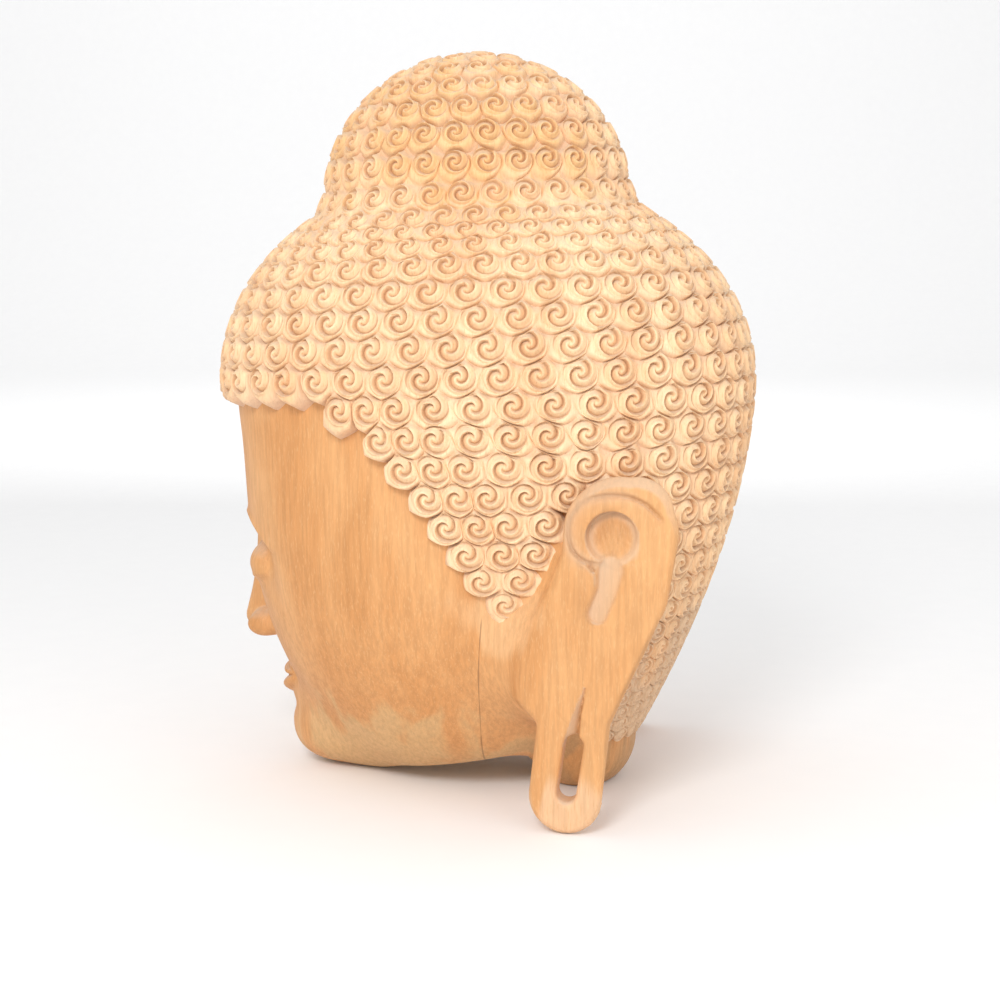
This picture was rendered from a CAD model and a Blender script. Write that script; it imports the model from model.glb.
import math

import bpy
import numpy as np
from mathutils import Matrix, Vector


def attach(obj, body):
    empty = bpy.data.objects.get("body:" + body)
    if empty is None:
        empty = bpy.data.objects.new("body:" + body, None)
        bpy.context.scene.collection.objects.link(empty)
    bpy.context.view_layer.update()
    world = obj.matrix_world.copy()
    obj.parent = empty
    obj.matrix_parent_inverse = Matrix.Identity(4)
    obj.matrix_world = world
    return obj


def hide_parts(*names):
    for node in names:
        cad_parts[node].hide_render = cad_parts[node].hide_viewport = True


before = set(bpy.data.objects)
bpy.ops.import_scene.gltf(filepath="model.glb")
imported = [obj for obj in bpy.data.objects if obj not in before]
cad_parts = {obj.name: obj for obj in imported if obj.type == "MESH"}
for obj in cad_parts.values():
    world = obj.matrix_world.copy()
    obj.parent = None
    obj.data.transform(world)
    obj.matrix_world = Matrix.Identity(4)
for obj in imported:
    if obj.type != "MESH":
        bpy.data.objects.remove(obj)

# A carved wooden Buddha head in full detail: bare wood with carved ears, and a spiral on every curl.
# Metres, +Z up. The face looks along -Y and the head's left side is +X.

TINY = 1e-6
UPRIGHT = np.array([0.0, 0.1, 1.0])
RAY_REACH = 0.5
HALVINGS = 32
NORMAL_STEP = 0.0005

# The head as a whole: it leans forward, so each row of curls drops a little toward the face.
LEAN = math.tan(math.radians(2.5))
HEART = np.array([0.0, 0.0, 0.25])

# Hair, measured over the tips of the curls
CRANIUM_HEIGHT = 0.335
CRANIUM_CENTRE_Y = -0.002
CRANIUM_HALF_LENGTH = 0.2225
CRANIUM_HALF_WIDTH = 0.170
CRANIUM_RISE = 0.174
CRANIUM_SIDE_POWER = 2.5
LEAST_HALF_WIDTH = 0.01
NAPE_DROP = 0.76
NAPE_POWER = 1.734
SIDE_DROP_REACH = 0.42
TOPKNOT_CENTRE = (0.0, -0.011, 0.480)
TOPKNOT_RADII = (0.106, 0.129, 0.121)
TOPKNOT_BLEND = 0.018

# Curls: the spacing of rows and of curls in a row, widest on the cranium, tight in the fold at the topknot's
# foot and smallest at the nape. The crown curl is larger, the two curls nearest the hairline are narrower.
ROW_PITCH = 0.0228
ROW_PITCH_TOPKNOT = 0.0245
ROW_PITCH_FOLD = 0.0150
ROW_PITCH_NAPE = 0.0128
CROWN_ROWS = 1.5
CROWN_INSET = 0.001
LEVEL_STEP = 0.0005
LEVEL_POINTS = 24
COLUMN_PITCH = 0.0302
COLUMN_PITCH_TOPKNOT = 0.0252
COLUMN_PITCH_NAPE = 0.0165
EDGE_SHARE = 0.77
TIP_EDGE_SHARE = 1.1
TIP_EDGE_HEIGHT = 0.235
TIP_EDGE_REACH = 0.05
NAPE_HEIGHT = 0.06
FULL_SIZE_HEIGHT = 0.22
FOLD_HEIGHT = 0.455
FOLD_REACH = 0.018
TOPKNOT_RAMP = 0.030
CRANIUM_RAMP = 0.050
NAPE_EDGE_HEIGHT = 0.036
SKIN_GRIP = 0.004
EAR_OVERLAP = 0.030
HAIRLINE_MARGIN = 0.30
NAPE_MARGIN = 0.40
GROWTH_MARGIN = 0.96
SAME_LEVEL = 0.001
LEAST_CURLS_ROUND = 5
LEAST_CURLS_BEHIND = 2
SHARE_DIGITS = 7
HALFWAY_SHARE = 0.4999

# Hairline seen from the side, from the front down to the tip before the ear and up again: (back, height)
HAIRLINE = (
    (-0.230, 0.321), (-0.164, 0.325), (-0.124, 0.322), (-0.097, 0.315), (-0.068, 0.301), (-0.048, 0.284),
    (-0.013, 0.243), (0.014, 0.203), (0.027, 0.181), (0.045, 0.161), (0.069, 0.200), (0.088, 0.239),
    (0.100, 0.258), (0.110, 0.268),
)

# Skull, jaw and neck under the skin
SKIN_DEPTH_LENGTH = 0.014
SKIN_DEPTH_WIDTH = 0.017
JAW_CENTRE = (0.0, -0.056, 0.160)
JAW_RADII = (0.142, 0.146, 0.166)
EAR_ROOT_TOP = (0.128, 0.106, 0.200)
EAR_ROOT_FOOT = (0.1275, 0.082, 0.105)
EAR_ROOT_RADIUS = 0.030
EAR_BED_TOP = (0.104, 0.080, 0.132)
EAR_BED_FOOT = (0.104, 0.071, 0.128)
EAR_BED_RADIUS = 0.050
EAR_BED_BLEND = 0.02
CHIN_CENTRE = (0.0, -0.160, 0.026)
CHIN_RADII = (0.044, 0.042, 0.032)
NECK_WIDENING = 1.4
NECK_FOOT = (0.0, 0.080, 0.035)
NECK_ROOT = (0.0, 0.052, 0.140)
NECK_RADIUS = 0.045
NECK_ROOT_RADIUS = 0.060
JAW_LINE_FRONT = (-0.140, -0.006)
JAW_LINE_RISE = 0.22
SKULL_BLEND = 0.05
JAW_LINE_BLEND = 0.035
EAR_ROOT_BLEND = 0.04
NECK_BLEND = 0.03
CHIN_BLEND = 0.05

# Face on classic thirds: hairline to brow, brow to nose base and nose base to chin are equal.
# Its places are those of an upright face; the whole face then leans forward about the pivot.
FACE_HEIGHT = 0.330
BROW_HEIGHT = FACE_HEIGHT * 2 / 3
NOSE_BASE_HEIGHT = FACE_HEIGHT / 3
EYE_HEIGHT = BROW_HEIGHT - 0.036
MOUTH_HEIGHT = NOSE_BASE_HEIGHT * 2 / 3
FACE_FRONT = -0.210
FACE_TILT = math.radians(7)
FACE_PIVOT = np.array([0.0, -0.205, 0.270])
BROW_INNER_X = 0.012
BROW_OUTER_X = 0.102
BROW_INNER_DROP = 0.016
BROW_OUTER_DROP = 0.006
BROW_ARCH = 0.022
BROW_RIDGE = 0.0018
BROW_EDGE_WIDTH = 0.008
BROW_FADE_IN = 1.8
BROW_FADE_OUT = (0.72, 1.12)
HOLLOW_DEPTH = 0.010
HOLLOW_START = -0.002
HOLLOW_FLAT = 0.018
HOLLOW_FOOT = 0.062
EYE_SPACING = 0.053
EYE_CENTRE = (EYE_SPACING, FACE_FRONT + 0.030, EYE_HEIGHT - 0.003)
EYE_RADII = (0.032, 0.020, 0.017)
LID_THICKNESS = 0.0022
LID_EDGE_HEIGHT = EYE_HEIGHT - 0.012
LID_EDGE_BEND = 4.0
LID_GAP = 0.003
LID_ROUNDING = 0.002
UPPER_LID_BLEND = 0.006
LOWER_LID_BLEND = 0.008
NOSE_RIDGE = (
    (0.0, FACE_FRONT + 0.017, BROW_HEIGHT - 0.006, 0.008),
    (0.0, FACE_FRONT + 0.007, EYE_HEIGHT + 0.004, 0.008),
    (0.0, FACE_FRONT - 0.012, NOSE_BASE_HEIGHT + 0.017, 0.013),
    (0.0, FACE_FRONT - 0.003, NOSE_BASE_HEIGHT + 0.010, 0.009),
)
NOSE_WING_CENTRE = (0.019, FACE_FRONT - 0.001, NOSE_BASE_HEIGHT + 0.012)
NOSE_WING_RADII = (0.0115, 0.017, 0.0115)
NOSTRIL_CENTRE = (0.011, FACE_FRONT - 0.009, NOSE_BASE_HEIGHT + 0.001)
NOSTRIL_RADII = (0.0055, 0.009, 0.004)
NOSE_BLEND = 0.022
NOSE_WING_BLEND = 0.008
NOSTRIL_BLEND = 0.004
MOUTH_HALF_WIDTH = 0.036
SMILE = 0.005
LIP_DIP = 0.0015
LIP_BOW = 0.003
UPPER_LIP_HEIGHT = 0.010
LOWER_LIP_HEIGHT = 0.016
UPPER_LIP_SWELL = 0.0045
LOWER_LIP_SWELL = 0.0060
LIP_POWER = 0.8
MUZZLE_SWELL = 0.008
MUZZLE_REACH = (0.036, 0.028)
CORNER_DEPTH = 0.003
CORNER_OFFSET = 0.003
CORNER_REACH = (0.006, 0.007)
UNDER_LIP_DEPTH = 0.003
UNDER_LIP_DROP = 0.024
UNDER_LIP_REACH = (0.024, 0.008)
LIP_BOW_PLACE = 0.009
LIP_BOW_REACH = 0.006
LIP_DIP_REACH = 0.008
PHILTRUM_DEPTH = 0.0022
PHILTRUM_REACH = 0.0045
PHILTRUM_FOOT = MOUTH_HEIGHT + 0.015
PHILTRUM_TOP = NOSE_BASE_HEIGHT - 0.007
PHILTRUM_FADE = 0.003
FACE_EDGE_DEPTH = (0.07, 0.13)

# Ear seen from the side: discs (back, height, radius) that its outline runs round, and its carving
EAR_DISCS = (
    (0.145, 0.2495, 0.028), (0.133, 0.234, 0.0433), (0.128, 0.192, 0.0415), (0.099, 0.0945, 0.028),
    (0.092, 0.029, 0.0285),
)
EAR_FACE_X = 0.1645
EAR_FLARE = 0.06
EAR_ROOT_X = 0.118
LOBE_INNER_X = 0.1455
LOBE_TOP = 0.085
LOBE_RAMP = 0.030
EAR_ROOT_SHRINK = 0.016
EAR_EDGE_ROUND = 0.005
EAR_EDGE_WIDTH = 0.014
EAR_FACE_INSET = 0.002
LOBE_SHRINK_SHARE = 0.7
EAR_FACE_FADE = (-0.004, 0.001)
BOWL_CENTRE = (0.127, 0.229)
DRIP_TOP = (0.126, 0.206)
DRIP_FOOT = (0.1165, 0.1725)
DRIP_RADIUS = 0.009
DRIP_DEPTH = 0.005
SLIT_TOP = (0.0985, 0.070)
SLIT_FOOT = (0.0930, 0.033)
SLIT_HALF_WIDTH = 0.0075

# Fine carving of the ear's face, in the side view as (back, height)
CURVE_PARTS = 6
BEVEL_DEPTH = 0.0095
BEVEL_WIDTH = 0.0098
BEVEL_POWER = 1.15
BEVEL_TURN = (-0.1, 0.9)
BEVEL_NARROWING = (0.30, 1.0)
BEVEL_DUST = 0.9
BEVEL_DUST_EDGE = (-0.0015, 0.0005)
GROOVE_LINE = (
    (0.1276, 0.2097), (0.1126, 0.2102), (0.1029, 0.2134), (0.0962, 0.2215), (0.0933, 0.2334),
    (0.0955, 0.2442), (0.1014, 0.2528), (0.1086, 0.2578), (0.1206, 0.2609), (0.1301, 0.2616),
    (0.1396, 0.2608), (0.1491, 0.2570), (0.1563, 0.2519), (0.1670, 0.2412),
)
GROOVE_LINE_DEPTH = 0.0030
GROOVE_LINE_WIDTH = 0.0019
GROOVE_LINE_FADE = 0.010
GROOVE_LINE_DARK = 0.8
GROOVE_DUST = 0.55
GROOVE_DUST_WIDTH = 0.0057
GROOVE_DUST_FADE = 0.04
BAND_CENTRE = (0.1313, 0.2355)
BAND_RADII = (0.0378, 0.0262)
BAND_DEPTH = 0.0012
BAND_BACK = 0.162
BAND_EDGE = (-0.03, 0.06)
BAND_FADE = 0.02
BOWL_RIM = 0.0212
BOWL_DEPTH = (0.0030, 0.0110)
BOWL_DEEP_SIDE = (-0.45, 0.89)
BOWL_TURN = (-0.95, 0.75)
BOWL_EDGE = (0.0080, 0.0022)
BOWL_DARK = (-0.2, 0.9)
BOWL_DARK_EDGE = (-0.0005, 0.0010, 0.0045)
BOWL_DUST = 0.7
BOWL_DUST_EDGE = (0.001, 0.004, 0.009)
TOOL_MARK_DEPTH = 0.0009
TOOL_MARK_WIDTH = 0.0045
TOOL_MARK_SLANT = 0.35
TOOL_MARK_REACH = 0.75
TOOL_MARK_FADE = 0.006
DRIP_WAIST = (0.1235, 0.190)
DRIP_TOP_RADIUS = 0.0112
DRIP_SLOPE = 0.55
DRIP_EDGE = 0.0035
DRIP_DARK = 0.55
DRIP_DARK_WIDTH = 0.0013
DRIP_DUST_SLOPE = 0.5
DRIP_DUST_EDGE = 0.003
WEDGE_LEFT = (
    (0.0669, 0.0730, 0.0832, 0.0943, 0.1034, 0.1115, 0.1170),
    (0.0892, 0.0916, 0.0945, 0.0984, 0.1018, 0.1051, 0.1070),
)
WEDGE_RIGHT = (
    (0.0638, 0.0737, 0.0857, 0.0957, 0.1037, 0.1145),
    (0.1001, 0.1010, 0.1024, 0.1038, 0.1057, 0.1076),
)
WEDGE_DEPTH = (0.0018, 0.0096)
WEDGE_LEAST_WIDTH = 0.0008
WEDGE_FALL = (-0.08, 0.92)
WEDGE_POWER = 0.8
WEDGE_BACK = (0.96, 1.25)
WEDGE_FOOT_FADE = 0.004
WEDGE_SEEN = 0.0004
WEDGE_DARK = 0.8
WEDGE_DARK_RANGE = (0.45, 0.95)
WEDGE_DARK_BACK = (1.0, 1.4)
WEDGE_DUST = 0.8
WEDGE_DUST_RANGE = (0.5, 0.9)
FRONT_RIDGE = 0.0012
FRONT_RIDGE_WIDTH = 0.0013
FRONT_RIDGE_DUST = 0.5
FRONT_RIDGE_LINE = (
    (0.0984, 0.2563), (0.0935, 0.2489), (0.0912, 0.2393), (0.0914, 0.2285), (0.0946, 0.2192),
    (0.1010, 0.2120), (0.1085, 0.2068), (0.1140, 0.2010), (0.1150, 0.1950),
)
FRONT_PIT = ((0.1102, 0.2082), (0.1128, 0.2046))
FRONT_PIT_DEPTH = 0.0035
FRONT_PIT_WIDTH = 0.0016
LOBE_LINE_DEPTH = 0.0008
LOBE_LINE_INSET = 0.0016
LOBE_LINE_WIDTH = 0.0010
LOBE_LINE_DARK = 0.75
LOBE_LINE_FOOT = (0.060, 0.075)
LOBE_LINE_TOP = (0.150, 0.175)
SKIN_RECESS_SHARE = 0.40
SKIN_RECESS_RANGE = (0.002, 0.012)
CARVED_FADE = (-0.002, 0.001)
CARVED_LEAST_X = 0.135
EAR_MAP_STEP = 0.0004
EAR_MAP_LOW = (0.050, -0.010)
EAR_MAP_HIGH = (0.185, 0.285)
EAR_CREASE = 0.003
EAR_FACE_ROUND = 0.0035
LOBE_INNER_ROUND = 0.006
SLIT_ROUND = 0.002
SLIT_FLARE = 0.0015
SLIT_FLARE_DEPTH = 0.006
FOOT_ROUND = 0.0015
CHEEK_JOIN = 0.045
CHEEK_JOIN_FOOT = (0.075, 0.105)
CHEEK_JOIN_TOP = (0.160, 0.240)
CHEEK_JOIN_BACK = (0.105, 0.125)

# The bare wood's mesh
BARE_STEP = 0.0016
BARE_TRIANGLES = 186000
BARE_ACROSS = 0.1725
BARE_LOW = (-0.232, -0.0035)
BARE_HIGH = (0.184, 0.352)
HIDDEN_MARGIN = 0.026
EAR_MARGIN = 0.004
NUDGE = 0.0003
SETTLING_ROUNDS = 3
LEAST_STEEPNESS = 0.25
SHARP_ANGLE = math.radians(70)

# Each curl: a flat-topped knob with a two-armed spiral, on a belly that overhangs the row below
ROW_LOOP_POINTS = 720
EDGE_PARTS = 4
DISC_RINGS = 15
WALL_RINGS = (0.10, 0.28, 0.54, 0.82)
DISC_OF_COLUMN = 0.415
DISC_OF_ROW = 0.60
DISC_LIMIT = 0.91
DISC_LIFT = 0.02
DISC_SHIFT = 0.025
DISC_VARIATION = 0.03
DISC_EDGE = 0.84
SPIRAL_PITCH = 0.54
SPIRAL_START = 0.8
SPIRAL_VARIATION = 0.5
WAVE_VARIATION = 0.07
RELIEF_DEPTH = 0.37
SMALL_RELIEF = 0.45
RIM_LEVEL = 0.7
RIM_SHARE = 0.75
ARM_RISE = (0.03, 0.24)
ARM_FALL = (0.30, 0.90)
ARM_SLOPE = 0.80
ARM_EDGE = (0.84, 1.0)
GROOVE_WIDTH = 0.15
HUB_RADIUS = (0.05, 0.30)
HUB_SINK = 0.55
EDGE_ROLL = 0.10
CURL_SINK = 0.0008
TOP_CORNER_DEPTH = 0.20
TIP_CORNER_DEPTH = 0.27
SADDLE_DEPTH = 0.21
CREASE_DEPTH = 0.31
SCALLOP_BOW = 0.05
OUTER_CREASE_DEPTH = 0.40
OUTER_REACH = 0.36
WALL_POWER = 2.2
BELLY_POWER = 3.0
BELLY_RANGE = (-0.50, 0.02)
BELLY_BULGE = 0.05
BULGE_END = 0.85
RECESS_RANGE = (0.0030, 0.0090)
FRONT_BACK_SPLIT = 0.02
SEED = 11

# Looks, as linear colours: light wood, dark wood, creases and grooves
SKIN_COLOURS = ((0.70, 0.365, 0.150), (0.60, 0.275, 0.095), (0.36, 0.18, 0.08), (0.36, 0.18, 0.08))
HAIR_COLOURS = ((0.925, 0.665, 0.41), (0.83, 0.51, 0.275), (0.68, 0.46, 0.34), (0.55, 0.31, 0.17))
CREASE_SHARE = 0.60
GROOVE_SHARE = 0.95
DUST = (0.66, 0.53, 0.40)
DUST_UP = (0.35, 0.85)
DUST_CLUMPS = (0.25, 0.60, 0.45, 1.0)
LYING_SHARE = 0.55
SKIN_DUST = 0.55
HAIR_DUST = 0.60
FLECK_COLOUR = (0.62, 0.30, 0.11)
FLECK_RANGE = (0.56, 0.70)
FLECK_SHARE = 0.35
SPECK_COLOUR = (0.95, 0.68, 0.38)
SPECK_RANGE = (0.30, 0.42, 1.0, 0.0)
SPECK_SHARE = 0.14
GLUE_COLOUR = (0.26, 0.12, 0.05)
GLUE_STRENGTH = 0.62
GLUE_LEAN = -0.094
GLUE_OFFSET = -0.0088
GLUE_WIDTH = (0.0007, 0.00021)
GLUE_WANDER = 0.0016
GLUE_SPAN = (0.165, 0.155)
GLUE_LEAST_X = (0.05, 0.07)
BLOTCH_WEIGHT = 0.75
BAND_WEIGHT = 0.45
TONE_RANGE = (0.42, 0.80)
STREAKS = (0.30, 0.72, 1.10, 0.88)
STREAK_SHARE = 0.8
RAGGED_EDGE = (0.3, 0.7, -0.35, 0.35)
PATCH_FADE = (1.0, 0.55)
ROUGHNESS = (0.2, 1.2, 0.48, 0.72)
SHEEN = 0.35
GRAIN_BUMP = (0.35, 0.0006)
PORE_BUMP = (0.25, 0.0004)
# Noises in the wood: (scale along each axis, detail, roughness, distortion)
BLOTCH_NOISE = ((11.0, 11.0, 6.0), 3.0, 0.55, 0.6)
BAND_NOISE = ((34.0, 34.0, 5.0), 2.0, 0.5, 0.4)
GRAIN_NOISE = ((330.0, 330.0, 26.0), 3.0, 0.6, 0.3)
PORE_NOISE = ((900.0, 900.0, 95.0), 2.0, 0.5, 0.0)
SPECK_NOISE = ((1100.0, 1100.0, 170.0), 1.0, 0.5, 0.0)
DUST_NOISE = ((60.0, 60.0, 60.0), 4.0, 0.6, 0.0)
WANDER_NOISE = ((20.0, 20.0, 40.0), 2.0, 0.5, 0.0)
PAPER_NOISE = ((30.0, 30.0, 30.0), 3.0, 0.5, 0.0)
# Patches on the wood: (centre, radii, colour, strength)
SKIN_PATCHES = (
    ((0.135, -0.075, 0.20), (0.06, 0.022, 0.075), (0.52, 0.22, 0.065), 0.50),
    ((0.145, 0.035, 0.165), (0.05, 0.040, 0.030), (0.78, 0.47, 0.24), 0.55),
    ((0.085, -0.150, 0.285), (0.06, 0.035, 0.022), (0.58, 0.26, 0.085), 0.35),
    ((0.0, -0.06, 0.03), (0.30, 0.13, 0.055), (0.62, 0.40, 0.19), 0.70),
    ((0.165, 0.092, 0.008), (0.03, 0.035, 0.034), (0.80, 0.53, 0.33), 0.60),
    ((0.0, 0.085, 0.02), (0.10, 0.07, 0.06), (0.42, 0.24, 0.11), 0.65),
)
HAIR_PATCHES = (
    ((0.07, -0.02, 0.520), (0.09, 0.12, 0.075), (0.76, 0.43, 0.16), 0.60),
    ((0.0, 0.15, 0.08), (0.16, 0.08, 0.10), (0.66, 0.46, 0.30), 0.75),
)
PAPER_LIGHT = (0.97, 0.97, 0.97)
PAPER_DARK = (0.94, 0.94, 0.945)
PAPER_ROUGHNESS = 0.9
BACKDROP_HALF_WIDTH = 12.0
BACKDROP_REACH = 5.0
BACKDROP_BEND = 2.0
BACKDROP_HEIGHT = 6.0
BACKDROP_PARTS = 16

# Camera, which looks a little to the right of the head's axis, and lights
FOCAL_PIXELS = 1727
AXIS_SHIFT_PIXELS = 10
CAMERA_YAW = math.radians(12)
CAMERA_TURN = math.atan(AXIS_SHIFT_PIXELS / FOCAL_PIXELS)
CAMERA_PITCH = math.radians(8.04)
CAMERA_LENS = 62.17
SENSOR_WIDTH = 36.0
CAMERA_DISTANCE = 1.4415
CAMERA_HEIGHT = 0.4355
# Lights: (name, place, target, size, power)
LIGHTS = (
    ("key", (1.90, -0.05, 1.40), (0.0, 0.0, 0.3), 0.7, 22.0),
    ("fill", (1.4, 1.5, 0.9), (0.0, 0.0, 0.3), 1.6, 4.0),
    ("back", (-1.8, 0.4, 1.6), (0.0, 0.0, 0.3), 1.8, 2.0),
    ("wall", (-1.8, -0.5, 2.4), (-6.5, -1.4, 1.8), 2.0, 42.0),
)
WORLD_STRENGTH = 0.83


def ramp(value, low, high):
    return np.clip((value - low) / (high - low), 0.0, 1.0)


def soft_step(value, low, high):
    share = ramp(value, low, high)
    return share * share * (3 - 2 * share)


def between(ends, share):
    return ends[0] + (ends[1] - ends[0]) * share


def swell(offset, width):
    """A soft mound, 1 at its middle."""
    return np.exp(-((offset / width) ** 2))


def smooth_min(first, second, blend):
    """The smaller of two fields, with the corner between them filled over the width of the blend."""
    overlap = np.maximum(blend - np.abs(first - second), 0.0) / blend
    return np.minimum(first, second) - overlap * overlap * blend / 4


def smooth_max(first, second, blend):
    return -smooth_min(-first, -second, blend)


def ellipsoid(points, centre, radii):
    """Near the surface, the signed distance to an ellipsoid."""
    scaled = (points - np.array(centre)) / np.array(radii)
    near = np.linalg.norm(scaled, axis=-1)
    steep = np.linalg.norm(scaled / np.array(radii), axis=-1)
    return near * (near - 1) / np.maximum(steep, TINY)


def rod(points, start, end, start_radius, end_radius):
    """Signed distance to a rod with round ends that tapers from one radius to the other."""
    start, end = np.array(start), np.array(end)
    along = end - start
    share = np.clip((points - start) @ along / (along @ along), 0, 1)
    nearest = start + share[..., None] * along
    return np.linalg.norm(points - nearest, axis=-1) - (start_radius + (end_radius - start_radius) * share)


def cranium(points, depth_length=0.0, depth_width=0.0):
    """The domed cranium that narrows to the nape, as a field, set back from the curls' tips by the depths."""
    above = np.maximum(points[..., 2] - CRANIUM_HEIGHT, 0) / (CRANIUM_RISE - depth_length)
    below = np.maximum(CRANIUM_HEIGHT - points[..., 2], 0)
    half_length = CRANIUM_HALF_LENGTH - depth_length - NAPE_DROP * below**NAPE_POWER
    half_width = (CRANIUM_HALF_WIDTH - depth_width) * (1 - (below / SIDE_DROP_REACH) ** CRANIUM_SIDE_POWER)
    across = np.abs(points[..., 0]) / np.maximum(half_width, LEAST_HALF_WIDTH)
    ahead = np.abs(points[..., 1] - CRANIUM_CENTRE_Y) / np.maximum(half_length, LEAST_HALF_WIDTH)
    return (np.sqrt(across**CRANIUM_SIDE_POWER + ahead**2 + above**2) - 1) * CRANIUM_HALF_WIDTH


def hair(points):
    """The surface that the tips of the curls touch: the cranium and the topknot on it."""
    return smooth_min(cranium(points), ellipsoid(points, TOPKNOT_CENTRE, TOPKNOT_RADII), TOPKNOT_BLEND)


def face_frame(points):
    """The points as an upright face sees them, folded to its left side, before the face leans forward."""
    turned = points - FACE_PIVOT
    cosine, sine = math.cos(FACE_TILT), math.sin(FACE_TILT)
    return np.stack([
        np.abs(turned[..., 0]),
        turned[..., 1] * cosine + turned[..., 2] * sine + FACE_PIVOT[1],
        turned[..., 2] * cosine - turned[..., 1] * sine + FACE_PIVOT[2],
    ], axis=-1)


def skin(points):
    """The bare wood: skull, jaw, neck stub and the features of the face."""
    sided = np.stack([np.abs(points[..., 0]), points[..., 1], points[..., 2]], axis=-1)
    upright = face_frame(points)
    skull = cranium(points, SKIN_DEPTH_LENGTH, SKIN_DEPTH_WIDTH)
    head = smooth_min(skull, ellipsoid(upright, JAW_CENTRE, JAW_RADII), SKULL_BLEND)
    jaw_line = JAW_LINE_FRONT[1] + JAW_LINE_RISE * (points[..., 1] - JAW_LINE_FRONT[0]) - points[..., 2]
    head = smooth_max(head, jaw_line / math.hypot(1, JAW_LINE_RISE), JAW_LINE_BLEND)
    head = face(head, upright)
    root = rod(sided, EAR_ROOT_TOP, EAR_ROOT_FOOT, EAR_ROOT_RADIUS, EAR_ROOT_RADIUS)
    bed = rod(sided, EAR_BED_TOP, EAR_BED_FOOT, EAR_BED_RADIUS, EAR_BED_RADIUS)
    head = smooth_min(head, smooth_min(root, bed, EAR_BED_BLEND), EAR_ROOT_BLEND)
    narrow = points / np.array([NECK_WIDENING, 1.0, 1.0])
    return smooth_min(head, rod(narrow, NECK_FOOT, NECK_ROOT, NECK_RADIUS, NECK_ROOT_RADIUS), NECK_BLEND)


def chain(upright, stations):
    """A bead that tapers through several places, each given as (x, y, z, radius)."""
    links = [rod(upright, a[:3], b[:3], a[3], b[3]) for a, b in zip(stations, stations[1:])]
    return np.min(links, axis=0)


def brow_height(across):
    """Height of the brow's edge, which arches from the bridge of the nose to the temple."""
    share = ramp(across, BROW_INNER_X, BROW_OUTER_X)
    return BROW_HEIGHT - BROW_INNER_DROP - BROW_OUTER_DROP * share + BROW_ARCH * np.sin(math.pi * share)


def brow_relief(across, height):
    """How far the hollow under the brow lies behind the bare head, less the thin ridge along the brow."""
    below = brow_height(across) - height
    inner = ramp(across, 0.0, BROW_INNER_X * BROW_FADE_IN)
    outer = 1 - ramp(across, BROW_OUTER_X * BROW_FADE_OUT[0], BROW_OUTER_X * BROW_FADE_OUT[1])
    ends = (inner * outer) ** 2 * (3 - 2 * inner * outer)
    step = ramp(below, HOLLOW_START, BROW_EDGE_WIDTH) * (1 - ramp(below, HOLLOW_FLAT, HOLLOW_FOOT))
    hollow = HOLLOW_DEPTH * step * step * (3 - 2 * step)
    return (hollow - BROW_RIDGE * swell(below, BROW_EDGE_WIDTH / 2)) * ends


def lip_relief(across, height):
    """How far the mouth stands out from the bare head: a mound, two full lips and their parting."""
    fade = np.sqrt(np.maximum(1 - (across / MOUTH_HALF_WIDTH) ** 2, 0.0))
    parting = MOUTH_HEIGHT + SMILE * (across / MOUTH_HALF_WIDTH) ** 2 - LIP_DIP * swell(across, LIP_DIP_REACH)
    bow = LIP_BOW * swell(across - LIP_BOW_PLACE, LIP_BOW_REACH)
    above = np.clip((height - parting) / ((UPPER_LIP_HEIGHT + bow) * fade + TINY), 0, 1)
    below = np.clip((parting - height) / (LOWER_LIP_HEIGHT * fade + TINY), 0, 1)
    upper = UPPER_LIP_SWELL * np.sin(math.pi * above) ** LIP_POWER
    lower = LOWER_LIP_SWELL * np.sin(math.pi * below) ** LIP_POWER
    rise = height - MOUTH_HEIGHT
    mound = MUZZLE_SWELL * swell(across, MUZZLE_REACH[0]) * swell(rise, MUZZLE_REACH[1])
    corner = swell(across - MOUTH_HALF_WIDTH - CORNER_OFFSET, CORNER_REACH[0])
    corner = corner * swell(rise - SMILE, CORNER_REACH[1])
    under = swell(across, UNDER_LIP_REACH[0]) * swell(rise + UNDER_LIP_DROP, UNDER_LIP_REACH[1])
    groove = ramp(height, PHILTRUM_FOOT - PHILTRUM_FADE, PHILTRUM_FOOT + PHILTRUM_FADE)
    groove = groove * (1 - ramp(height, PHILTRUM_TOP - PHILTRUM_FADE, PHILTRUM_TOP + PHILTRUM_FADE))
    hollows = CORNER_DEPTH * corner + UNDER_LIP_DEPTH * under
    hollows = hollows + PHILTRUM_DEPTH * groove * swell(across, PHILTRUM_REACH)
    return mound + (upper + lower) * np.sqrt(fade) - hollows


def face(head, upright):
    """Chin, mouth, brows, nose and lowered lids on the bare head."""
    across, height = upright[..., 0], upright[..., 2]
    head = smooth_min(head, ellipsoid(upright, CHIN_CENTRE, CHIN_RADII), CHIN_BLEND)
    front = ramp(-upright[..., 1], *FACE_EDGE_DEPTH)
    head = head + (brow_relief(across, height) - lip_relief(across, height)) * front
    head = smooth_min(head, chain(upright, NOSE_RIDGE), NOSE_BLEND)
    head = smooth_min(head, ellipsoid(upright, NOSE_WING_CENTRE, NOSE_WING_RADII), NOSE_WING_BLEND)
    head = smooth_max(head, -ellipsoid(upright, NOSTRIL_CENTRE, NOSTRIL_RADII), NOSTRIL_BLEND)
    ball = ellipsoid(upright, EYE_CENTRE, EYE_RADII)
    lid = ball - LID_THICKNESS
    lid_edge = LID_EDGE_HEIGHT + LID_EDGE_BEND * (across - EYE_SPACING) ** 2
    head = smooth_min(head, smooth_max(lid, lid_edge - height, LID_ROUNDING), UPPER_LID_BLEND)
    head = smooth_min(head, smooth_max(lid, height - lid_edge + LID_GAP, LID_ROUNDING), LOWER_LID_BLEND)
    return smooth_min(head, ball, LID_ROUNDING)


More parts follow.
